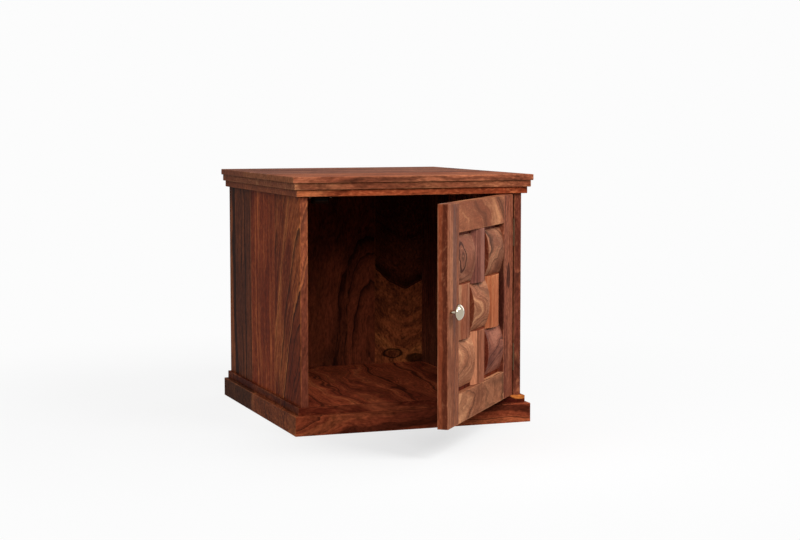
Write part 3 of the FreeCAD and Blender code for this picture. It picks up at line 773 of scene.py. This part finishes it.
# %% Left side
flecked = dict(pith=(0.3, 0.05, 0), lean=0.03, wander=0.07, swirl=0.025, ripple=0.012)
almost_black = dict(**stained(night, 1.0, 1.18, 1.18), dark_share=0.46, lines=1.0)
reddest = dict(**stained(russet, 0.89, 0.86, 0.9), dark_share=0.32, lines=0.6)
pale_joint = dict(sap_side=-1.0, sap_edge=0.0797)
tawny = tone((44, 18, 12), (98, 40, 24), (146, 76, 43), (184, 108, 62))
browner = dict(**stained(tawny, 1.12, 1.09, 1.04), dark_share=0.24, lines=1.0)
front_curve = dict(pith=(-0.085, -0.06, 0), lean=0.3, wander=0.02, swirl=0.012, ripple=0.012)
front_heart = dict(zone=0.0743, zone_depth=0.8)
russet_edge = dict(edge_share=0.65, edge=paint(114, 62, 47))
saw("left_side_rear", "z", 9.0, 50.0, almost_black, flecked)
saw("left_side_middle", "z", 9.0, 90.0, reddest, flecked, pale_joint)
saw("left_side_front", "z", 3.0, 60.0, browner, front_curve, front_heart, russet_edge)

# %% Right side
greyer = stained(wine, 1.17, 1.74, 2.3)
# The rear board's inner face lies in the dark of the cabinet, and the darker tone it gets here is painted shade.
darkened_as_painted_shade = stained(rust, 0.62, 0.75, 1.0)
saw("right_side_front", "z", 24.0, 60.0, greyer, straight)
saw("right_side_middle", "z", 25.0, 50.0, umber, arched)
saw("right_side_rear", "z", 26.0, 60.0, darkened_as_painted_shade, straight)

# %% Back
long_arc = dict(pith=(0.0, 0.2, 0), lean=0.05, wander=0.05, swirl=0.03, ripple=0.014)
long_arc.update(zone=0.156, zone_depth=0.9, dark_share=0.4, lines=0.9)
long_arc.update(knot_size=(0.075, 0.1, 0.2), knot_pull=-0.12)
dusky = stained(tone((24, 9, 6), (108, 46, 26), (76, 32, 18), (104, 48, 25)), 1.1, 1.3, 1.5)
saw("back_board_1", "z", 31.0, 50.0, wine, swirled)
saw("back_board_2", "z", 10.0, 36.0, dusky, long_arc, dict(knot=(0.1175, 0, -0.12)))
saw("back_board_3", "z", 10.0, 36.0, dusky, long_arc, dict(knot=(0.03, 0, -0.12)))

deep_arch = dict(pith=(0.0135, 0.012, 0), lean=-1.25, wander=0.015, swirl=0.03, ripple=0.006)
deep_arch.update(zone=0.046, zone_depth=0.9, dark_share=0.1, lines=0.9, fleck=1.25)
eye = dict(knot=(-0.0155, 0, -0.160), knot_size=(0.020, 0.1, 0.0095), knot_pull=0.03, knot_ring=1.0)
# A dark spot lies in the board's lower corner.
dark_corner_spot = dict(stain=(0.034, 0, -0.172), stain_size=(0.024, 0.1, 0.012))
smoky = tone((24, 9, 5), (72, 32, 19), (144, 74, 42), (162, 92, 50))
saw("back_board_4", "z", 24.0, 12.0, smoky, deep_arch, eye, dark_corner_spot)

# %% Floor panel
smoke_and_fire = tone((36, 14, 9), (112, 45, 27), (162, 74, 42), (186, 98, 56))
panel_tone = calmed(stained(smoke_and_fire, 1.06, 1.11, 1.3), 0.15)
curly = dict(pith=(0.3, 0.05, 0), lean=0.1, wander=0.16, swirl=0.08, ripple=0.02)
saw("floor_panel", "y", 5.0, 70.0, panel_tone, curly, dict(dark_share=0.42))

# %% Base moulding
golden_corner = dict(stain=(0.0085, 0, 0.210), stain_size=(0.008, 0.1, 0.026))
golden_corner.update(streak=paint(205, 120, 55), dark_share=0.0, lines=0.0)
step_front = stained(wine, 0.6, 0.52, 0.66)
step_left = stained(wine, 0.75, 0.85, 0.93)
saw("base_step_front", "x", 41.0, 60.0, step_front, swirled, golden_corner)
saw("base_step_left", "y", 42.0, 60.0, step_left, swirled)
saw("base_step_right", "y", 43.0, 60.0, wine, swirled)

# %% Plinth
wavy = dict(pith=(0.3, 0.03, 0), lean=0.03, wander=0.15, swirl=0.035, ripple=0.014)
wavy.update(dark_share=0.4, lines=1.0)
chestnut = tone((40, 16, 9), (92, 40, 22), (130, 62, 33), (164, 90, 48))
plinth_tone = calmed(stained(chestnut, 0.93, 0.84, 1.1), 0.2)
saw("plinth_front", "x", 34.0, 70.0, plinth_tone, wavy)
half_dark = dict(pith=(0.0, 0.04, 0), wander=0.1, swirl=0.04, lean=0.6, dark_share=0.3)
half_dark.update(stain=(0, 0, 0.20), stain_size=(0.2, 0.2, 0.165))
sooty = tone((48, 30, 21), (104, 52, 32), (136, 72, 44), (166, 96, 58))
saw("plinth_left", "y", 45.0, 60.0, sooty, half_dark)
saw("plinth_right", "y", 46.0, 60.0, stained(rust, 0.92, 1.0, 1.1), swirled)
saw("plinth_rear", "x", 47.0, 60.0, rust, swirled)
finish("plinth_corner_blocks", rosewood("corner_blocks", as_it_is, **honey, **straight, seed=48.0))

# %% [markdown]
# ## The door's frame
#
# Two stiles run the whole height and two rails fit between them, so their grain crosses at
# the corners. The stiles are quartered and straight in the grain, so that the door stays
# flat, and the rails were cut nearer a branch, where the grain curls. The edge that a hand
# takes hold of is redder, with a dark band along half of it, and the free stile's arrises
# carry a stronger pale painted highlight. That edge could be a strip of its own, but on the
# real door it is the stile's own side, so it is an edge colour of the same cut.

# %% Stiles
free_tone = calmed(stained(plum, 1.05, 1.12, 0.98), 0.3)
lilac_streak = dict(stain=(0.004, 0, 0.075), stain_size=(0.011, 0.1, 0.12))
lilac_streak["streak"] = paint(104, 70, 60)
# This cut strengthens the painted highlight on the stile's arrises.
red_edge = dict(edge_share=0.75, edge=paint(126, 56, 32), worn=0.8, fleck=0.7)
edge_band = dict(dark_edge_share=0.7, dark_edge=paint(74, 34, 24))
saw("door_stile_free", "z", 4.0, 70.0, free_tone, straight, lilac_streak, red_edge, edge_band)
hinge_tone = stained(rust, 0.86, 1.03, 1.43)
dark_lens = dict(stain=(0.0, 0, 0.038), stain_size=(0.010, 0.1, 0.024))
saw("door_stile_hinge", "z", 5.0, 60.0, hinge_tone, straight, dark_lens)

# %% Rails and panel
top_tone = calmed(stained(honey, 0.83, 0.84, 0.98), 0.15)
low_tone = calmed(stained(umber, 1.07, 1.28, 1.6), 0.1)
saw("door_rail_top", "x", 9.0, 60.0, top_tone, swirled, dict(fleck=0.4))
plain_rail = dict(dark_share=0.28, fleck=0.45)
saw("door_rail_bottom", "x", 1.0, 60.0, low_tone, swirled, plain_rail)
saw("door_panel", "z", 55.0, 60.0, wine, straight)

# %% [markdown]
# ## Bowed blocks of the basket weave
#
# The field of the door is nine blocks, sawn from a round-faced strip and glued to a thin
# panel. They lie and stand by turns, so that the bows look woven. A CAD mesh shows a bow as
# a few flats, so each block is made again here: a D-shaped section in fine steps, carried
# along the block, with capped ends and a small bevel where sandpaper took the edge off.

# %% The D section and a block
bow_steps = 48
panel_face = -0.2325
bow_shoulder = 0.0012
bow_rise = 0.0091


def d_section(half):
    """A flat back, two low edges and a bow. The bow is an arc whose radius is
    (half width squared + rise squared) / (2 x rise). Gives how far across and how far out."""
    bow_radius = (half**2 + bow_rise**2) / (2 * bow_rise)
    across = np.linspace(half, -half, bow_steps + 1)
    out = bow_shoulder + bow_rise - bow_radius + np.sqrt(bow_radius**2 - across**2)
    return np.r_[-half, half, across], np.r_[0, 0, out]


def bowed_block(node, lying):
    """The D section at both ends of the block, joined by long quads and closed by caps."""
    low, high = shut_box(node)
    centre, half = (low + high) / 2, (high - low) / 2
    across_axis, along_axis = (2, 0) if lying else (0, 2)
    across, out = d_section(half[across_axis])
    count = len(across)
    points = np.empty((2, count, 3))
    points[..., across_axis] = centre[across_axis] + across
    points[..., 1] = panel_face - out
    points[..., along_axis] = centre[along_axis] + half[along_axis] * np.array([[-1], [1]])
    ring = np.arange(count)
    following = (ring + 1) % count
    sides = np.c_[ring, ring + count, following + count, following].tolist()
    caps = [ring.tolist(), (ring[::-1] + count).tolist()]
    return points.reshape(-1, 3), sides + caps


print(len(d_section(0.04)[0]), "points round a block's section")


# %% A new piece from points and faces
sharp_corner = 35


def face_outward(mesh):
    """Turn the faces of a closed mesh so that they all point outwards."""
    shell = bmesh.new()
    shell.from_mesh(mesh)
    bmesh.ops.recalc_face_normals(shell, faces=shell.faces)
    shell.to_mesh(mesh)
    shell.free()


def smooth(mesh, sharp_above):
    """Shade a mesh smooth, with edges sharp where faces meet at more than so many degrees."""
    mesh.polygons.foreach_set("use_smooth", [True] * len(mesh.polygons))
    mesh.set_sharp_from_angle(angle=math.radians(sharp_above))


def new_piece(name, body, points, faces, material, turn=as_it_is):
    """A mesh piece, shut or cabinet coordinates turned into place, that rides on a body."""
    mesh = mesh_of(name, points, faces, material)
    mesh.transform(turn)
    face_outward(mesh)
    smooth(mesh, sharp_above=sharp_corner)
    piece = placed(name, mesh)
    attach(piece, body)
    return piece


def soften(piece, width):
    """A small live bevel on a piece's sharp edges."""
    bevel = piece.modifiers.new("arris", "BEVEL")
    bevel.width = width
    bevel.segments = 2
    bevel.limit_method = "ANGLE"
    bevel.angle_limit = math.radians(sharp_corner)


print("a piece's edges are sharp above", sharp_corner, "degrees")


# %% A cut for each block
knotty = dict(pith=(0.02, 0.08, 0), lean=0.2, wander=0.12, swirl=0.06, ripple=0.012)
knot_1_1 = dict(knot=(0.005, 0, -0.024), knot_size=(0.021, 0.1, 0.017))
knot_1_1.update(knot_pull=0.03, knot_ring=1.0)
sap_3_2 = dict(sap_side=-1.0, sap_edge=0.022)
block_cuts = {
    (1, 1): (3.0, stained(honey, 0.9, 1.1, 1.55), knotty, knot_1_1),
    (1, 2): (12.0, calmed(stained(plum, 0.92, 1.0, 1.17), 0.1), straight),
    (1, 3): (2.0, stained(umber, 1.08, 1.32, 1.75), knotty),
    (2, 1): (1.0, calmed(stained(ember, 0.7, 1.14, 1.9), 0.1), straight),
    (2, 2): (7.0, calmed(stained(honey, 0.87, 0.95, 1.2), 0.1), knotty),
    (2, 3): (9.0, calmed(stained(ember, 1.07, 1.62, 2.2), 0.2), straight),
    (3, 1): (21.0, calmed(stained(honey, 1.03, 1.2, 1.5), 0.25), knotty),
    (3, 2): (3.0, calmed(stained(umber, 1.25, 1.35, 1.75), 0.4), straight, sap_3_2),
    (3, 3): (24.0, stained(plum, 0.99, 1.04, 1.13), knotty),
}
print(len(block_cuts), "cuts for the blocks")

# %% Nine blocks
# The blocks' darker ends are end grain and also painted shade: the ends beside the bows sit in shadow.
dark_ends_and_painted_shade = dict(end_share=0.8, end=paint(100, 40, 24))
block_fleck = 0.45
sanded_edge = 0.0005
for (row, column), (seed, *habits) in block_cuts.items():
    node = f"weave_block_{row}_{column}"
    lying = (row + column) % 2 == 0
    axes, half_size = board_axes(node, "x" if lying else "z")
    plain_cut = dict(seed=seed, half_size=half_size, fleck=block_fleck)
    wood = rosewood(node, axes, **mixed(plain_cut, dark_ends_and_painted_shade, *habits))
    points, faces = bowed_block(node, lying)
    name = f"bowed_block_{row}_{column}"
    block = new_piece(name, "door", points, faces, wood, opened)
    soften(block, sanded_edge)
    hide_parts(node)
print(len(block_cuts), "blocks of", len(block.data.vertices), "points")

# %% [markdown]
# ## Metal and plastic
#
# The knob is polished and plated, so it is a mirror that shows the pale room; its warm beige
# colour is a painted reflection of the wood and floor round it. A plated surface is never
# quite flat, so shallow waves bend what it reflects. The hinges are plain rolled steel that
# has gone brown, their screws are brighter, and the magnetic catch is dull moulded plastic
# with steel plates, both painted a near-black brown as shade, so that they are lost in the
# shadow under the top. One function makes them all, because they differ only in colour,
# roughness and waviness.

# %% A plain finish
wear_scale = 400.0
wave_scale = 130.0


def plain_material(name, colour, metallic, roughness, wear_share, gloss=0.5, waves=0.00001):
    """A material of one colour, with fine wear in its roughness, a faint mottle and shallow
    waves in its surface, which are waves metres deep. The other numbers are shares of 1."""
    material = bpy.data.materials.new(name)
    tree = empty_tree(material)
    place = add(tree, "ShaderNodeTexCoord").outputs["Object"]
    fine = {"Vector": place, "Scale": wear_scale, "Detail": 3.0}
    wear = add(tree, "ShaderNodeTexNoise", fine).outputs[0]
    centred = calculate(tree, "SUBTRACT", wear, 0.5)
    rough = calculate(tree, "MULTIPLY_ADD", centred, wear_share, roughness)
    mottle = calculate(tree, "MULTIPLY_ADD", centred, wear_share * 2, 1.0)
    tinted = shaded(tree, colour, mottle)
    surface = {"Base Color": tinted, "Metallic": metallic, "Roughness": rough}
    surface["Specular IOR Level"] = gloss
    shallow = {"Vector": place, "Scale": wave_scale, "Detail": 1.0}
    swell = add(tree, "ShaderNodeTexNoise", shallow).outputs[0]
    bump = add(tree, "ShaderNodeBump", {"Height": swell, "Distance": waves})
    surface["Normal"] = bump.outputs[0]
    lit_by(tree, surface)
    return material


print("wear every", 1 / wear_scale, "m and waves every", round(1 / wave_scale, 4), "m")

# %% Chrome, steel, plastic and ferrite
# name, colour, metallic share, roughness, share of wear and, for dull stuff, gloss
# The chrome's warm beige colour is a painted reflection of the wood and floor that the knob mirrors; plated chrome
# itself is nearly neutral.
chrome_with_painted_reflection = plain_material("polished_chrome", paint(180, 170, 150), 1.0, 0.035, 0.02, waves=0.00003)
steel = plain_material("hinge_steel", paint(88, 66, 48), 1.0, 0.45, 0.15)
screw_steel = plain_material("screw_steel", paint(128, 116, 98), 1.0, 0.35, 0.15)
# The catch's plastic is painted a near-black brown as shade, so that it vanishes in the dark under the top.
plastic_in_painted_shade = plain_material("catch_plastic", paint(28, 12, 7), 0.0, 0.7, 0.1, 0.0)
ferrite = plain_material("magnet_ferrite", paint(34, 28, 26), 0.0, 0.7, 0.15, 0.0)
# The pole plates' dark brown is painted shade too.
pole_steel_in_painted_shade = plain_material("pole_plates_painted_shade", paint(44, 30, 22), 0.3, 0.6, 0.15, 0.0)
rolled_steel = [node for node in nodes if node.startswith("hinge_")]
rolled_steel += ["strike_plate", "knob_washer", "knob_screw"]
for node in rolled_steel:
    finish(node, steel)
finish("catch_pole_plates", pole_steel_in_painted_shade)
finish("catch_case", plastic_in_painted_shade)
finish("catch_magnet", ferrite)
print(len(rolled_steel), "plain steel pieces")

# %% [markdown]
# ## Turned pieces: the knob and the screws
#
# A knob is turned, so it is a profile of radius and height carried round an axis. It could
# be a sphere pressed flat, but then its rim and its underside couldn't differ. The same
# lathe makes the screws: their heads get a cross pressed into them, which moves points of
# the head down where either arm of the cross covers them.

# %% The lathe
forward = (0, -1, 0)
rearward = (0, 1, 0)
downward = (0, 0, -1)


def lathe(profile, steps):
    """Points of a profile carried round the Z axis, and arrays of its four-cornered and
    three-cornered faces: x is radius x cosine and y is radius x sine of the turn. profile is
    a row of (radius, height) pairs from pole to pole, and a pole has a radius of 0."""
    radii, heights = np.array(profile, float)[1:-1].T
    angles = np.linspace(0, 2 * np.pi, steps, endpoint=False)
    x = radii[:, None] * np.cos(angles)
    y = radii[:, None] * np.sin(angles)
    z = heights[:, None] + 0 * angles
    rounds = np.stack([x, y, z], axis=-1)
    poles = [[0, 0, profile[0][1]], [0, 0, profile[-1][1]]]
    points = np.concatenate([rounds.reshape(-1, 3), poles])
    spokes = np.arange(steps)
    following = (spokes + 1) % steps
    first = steps * np.arange(len(radii) - 1)[:, None]
    after = first + steps
    quads = np.stack([first + spokes, first + following, after + following, after + spokes], -1)
    last = steps * (len(radii) - 1)
    start = np.c_[following, spokes, np.full(steps, len(points) - 2)]
    end = np.c_[last + spokes, last + following, np.full(steps, len(points) - 1)]
    return points, [quads.reshape(-1, 4), np.r_[start, end]]


def face_lists(kinds, first=0):
    """Arrays of four-cornered and three-cornered faces as one list. first is added to every
    corner's number."""
    return [face for kind in kinds for face in (kind + first).tolist()]


def facing(place, way):
    """The matrix that stands a turned piece at a place, with its head looking one way."""
    return Matrix.Translation(place) @ Vector(way).to_track_quat("Z", "Y").to_matrix().to_4x4()


barrel = lathe([(0, 0), (1, 1), (1, 2), (0, 3)], 8)
print("a barrel of 8 steps has", len(face_lists(barrel[1])), "faces")

# %% The knob's profile, in millimetres
points_under = 14
points_over = 26
knob_radius = 13.6
rim_height = 14.3
under_depth = 5.2
dome_rise = 8.6
dome_fullness = 0.62
stem_radius = 2.85
stem_rounds = (0.0, 3.0, 6.0)


def knob_profile():
    """A stem, and a head of two halves. Both halves have the radius times the cosine of a
    turn. The lower one hangs under_depth x sine of the turn below the rim, and starts where
    it meets the stem. The upper one stands dome_rise x sine to the power of twice the
    fullness above it."""
    stem_meets_head = math.acos(stem_radius / knob_radius)
    turn_under = np.linspace(-stem_meets_head, 0, points_under)
    turn_over = np.linspace(0, np.pi / 2, points_over)[1:]
    under = np.c_[np.cos(turn_under), rim_height + under_depth * np.sin(turn_under)]
    rise_over = dome_rise * np.sin(turn_over) ** (2 * dome_fullness)
    dome = np.c_[np.cos(turn_over), rim_height + rise_over]
    head = np.r_[under, dome] * (knob_radius, 1)
    head[-1] = (0, rim_height + dome_rise)
    stem = [(0, 0)] + [(stem_radius, height) for height in stem_rounds]
    return np.r_[stem, head]


print("the knob stands", rim_height + dome_rise, "mm out from the door")

# %% The knob
knob_seat = (-0.1823, -0.243, 0.2435)
knob_steps = 72
points, kinds = lathe(knob_profile() * millimetre, knob_steps)
faces = face_lists(kinds)
turn = opened @ facing(knob_seat, forward)
knob = new_piece("turned_knob", "door", points, faces, chrome_with_painted_reflection, turn)
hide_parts("door_knob")
print("knob:", len(knob.data.polygons), "faces")


# %% A cross in a screw's head
arm_width_share = 0.28
arm_end_slope = 0.35
arm_wall_slope = 0.5


def cross_head(profile, arm, depth, steps=40):
    """A turned screw with a cross pressed in its top: where a point of the top lies within
    an arm's half width of either axis and within its length, it goes down by the depth."""
    points, kinds = lathe(profile, steps)
    x, y, z = points.T
    half_width = arm * arm_width_share

    def inside_arm(along, aside):
        """1 inside an arm and 0 outside, sloping at its end and its walls."""
        ends = np.clip((arm - np.abs(along)) / (arm * arm_end_slope), 0, 1)
        walls = np.clip((half_width - np.abs(aside)) / (half_width * arm_wall_slope) + 0.5, 0, 1)
        return ends * walls

    pressed = np.maximum(inside_arm(x, y), inside_arm(y, x))
    on_top = z > max(row[1] for row in profile) - depth
    points[:, 2] = z - depth * pressed * on_top
    return points, kinds


print("an arm of the cross is", 2 * arm_width_share, "times as wide as it is long")


# %% Several screws as one piece
def repeated(shape, kinds, seats, way):
    """One turned shape at several seats. seats are the places and way is where it looks."""
    points = []
    faces = []
    for seat in seats:
        stand = np.array(facing(seat, way))
        faces += face_lists(kinds, len(points) * len(shape))
        points.append(shape @ stand[:3, :3].T + stand[:3, 3])
    return np.concatenate(points), faces


def screw_set(name, body, seats, way, profile, arm, depth, turn=as_it_is):
    """Several alike screws as one piece."""
    points, faces = repeated(*cross_head(profile, arm, depth), seats, way)
    return new_piece(name, body, points, faces, screw_steel, turn)


dome_share = 0.92
dome_fall = 0.35
rim = [(0.985, 0.5), (1.0, 0.3), (0.97, 0.0)]


def head_profile(radius, height, under, rings=9):
    """A low domed head: rings out from the middle on top, a rounded rim, then the underside.
    The dome's height is height x (1 - dome_fall x share of the radius squared)."""
    out = np.linspace(0, dome_share, rings)
    dome = np.c_[out, 1 - dome_fall * out**2]
    return np.r_[np.r_[dome, rim] * (radius, height), np.array(under)]


print("a head has", len(rim), "rounds at its rim")


# %% Screws of the back
back_face = 0.242
pan = head_profile(0.0030, 0.0008, [(0.0012, 0), (0.0012, -0.004), (0, -0.004)])
up_the_sides = (0.09, 0.23, 0.37)
along_the_foot = (-0.18, -0.105, -0.06, 0.01, 0.063, 0.12, 0.17)
rows = [(x, back_face, z) for x in (-0.201, 0.201) for z in up_the_sides]
rows += [(x, back_face, 0.042) for x in along_the_foot]
screw_set("back_screws", "cabinet", rows, rearward, pan, arm=0.0017, depth=0.0006)
print(len(rows), "screws hold the back")

# %% Screws of the catch and the knob
ear = head_profile(0.0028, 0.0014, [(0.0012, 0), (0.0012, -0.002), (0, -0.002)])
ears = [(x, -0.2156, 0.4195) for x in (-0.1853, -0.1463)]
screw_set("catch_screws", "cabinet", ears, downward, ear, arm=0.0016, depth=0.0009)

knob_back = head_profile(0.0038, 0.0024, [(0.0019, 0), (0.0019, -0.0273), (0, -0.0273)])
behind = [(-0.1823, -0.2237, 0.2435)]
knob_cross = dict(arm=0.0023, depth=0.0014)
knob_bolt = screw_set("knob_bolt", "door", behind, rearward, knob_back, **knob_cross, turn=opened)
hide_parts("knob_screw")
print(len(ears), "screws hold the catch, and one the knob")

# %% [markdown]
# ## Plates drilled for their screws
#
# A butt hinge has two leaves that fold together with a gap of 0.2 mm, so the heads of its
# screws must lie flush in countersunk holes. The leaf's own mesh is right apart from the
# holes. A copy is merged, because the original is loose triangles, and cones are cut out of
# it with a Boolean whose result is kept as plain mesh. The strike plate is made the same way.

# %% A copy of a plate, and what is cut from it
hole = [(0, -1.6), (1.5, -1.6), (1.5, -0.85), (2.75, 0.02), (2.9, 0.4), (0, 0.4)]
hole_steps = 32
merge_within = 1e-6


def merged_copy(node):
    """A CAD plate's mesh, door shut, with the corners of its loose triangles merged."""
    mesh = nodes[node].data.copy()
    mesh.transform(to_shut(node))
    merged = bmesh.new()
    merged.from_mesh(mesh)
    bmesh.ops.remove_doubles(merged, verts=merged.verts, dist=merge_within)
    merged.to_mesh(mesh)
    merged.free()
    return mesh


def hole_cutter(seats, way):
    """A mesh of one countersunk hole at every seat, the hole's profile carried round."""
    points, faces = repeated(*lathe(np.array(hole) * millimetre, hole_steps), seats, way)
    mesh = mesh_of("cutter", points, faces)
    face_outward(mesh)
    return mesh


def cut_away(plate, cutter):
    """The mesh that is left of a plate when a cutter is taken from it."""
    cut = plate.modifiers.new("holes", "BOOLEAN")
    cut.operation = "DIFFERENCE"
    cut.solver = "EXACT"
    cut.object = cutter
    bpy.context.view_layer.update()
    drilled_plate = plate.evaluated_get(bpy.context.evaluated_depsgraph_get())
    left = bpy.data.meshes.new_from_object(drilled_plate)
    plate.modifiers.clear()
    return left


print("a hole has", len(hole), "corners from its bottom to its mouth")

# %% Drill a plate
plate_corner = 30


def drilled(name, node, body, seats, way):
    """A merged copy of a CAD plate, less a countersunk hole at every seat."""
    plate = placed(name, merged_copy(node))
    cutter = placed("cutter", hole_cutter(seats, way))
    plate.data = cut_away(plate, cutter)
    bpy.data.objects.remove(cutter)
    plate.data.name = name
    plate.data.transform(to_shut(node).inverted())
    plate.data.materials.clear()
    plate.data.materials.append(steel)
    smooth(plate.data, sharp_above=plate_corner)
    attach(plate, body)
    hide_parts(node)
    print(name, len(plate.data.polygons), "faces")


# %% Hinge leaves
flush_top = [(out, 0) for out in (0, 0.5, 1.0, 1.5, 2.0, 2.4)]
flush_rest = [(2.58, -0.03), (2.6, -0.12), (1.45, -0.88), (1.2, -0.9), (0, -0.9)]
flush = np.array(flush_top + flush_rest) * millimetre
flush_cross = dict(arm=0.0013, depth=0.0005)
leaf_sides = {"cabinet": (0.1965, -1, as_it_is), "door": (0.1963, 1, opened)}
leaf_middle = -0.2335
holes_up_a_leaf = (0.0083, 0.025, 0.0417)
for hinge_name, low_end in (("top", 0.3255), ("bottom", 0.0955)):
    for body, (face, way, turn) in leaf_sides.items():
        seats = [(face, leaf_middle, low_end + up) for up in holes_up_a_leaf]
        node = f"hinge_{hinge_name}_{body}_leaf"
        drilled(f"drilled_{node}", node, body, seats, (way, 0, 0))
        screws = f"{hinge_name}_{body}_screws"
        screw_set(screws, body, seats, (way, 0, 0), flush, **flush_cross, turn=turn)

# %% Strike plate
seats = [(-0.1658 + aside, -0.2235, 0.415) for aside in (-0.0135, 0.0135)]
drilled("drilled_strike_plate", "strike_plate", "door", seats, rearward)
screw_set("strike_screws", "door", seats, rearward, flush, **flush_cross, turn=opened)
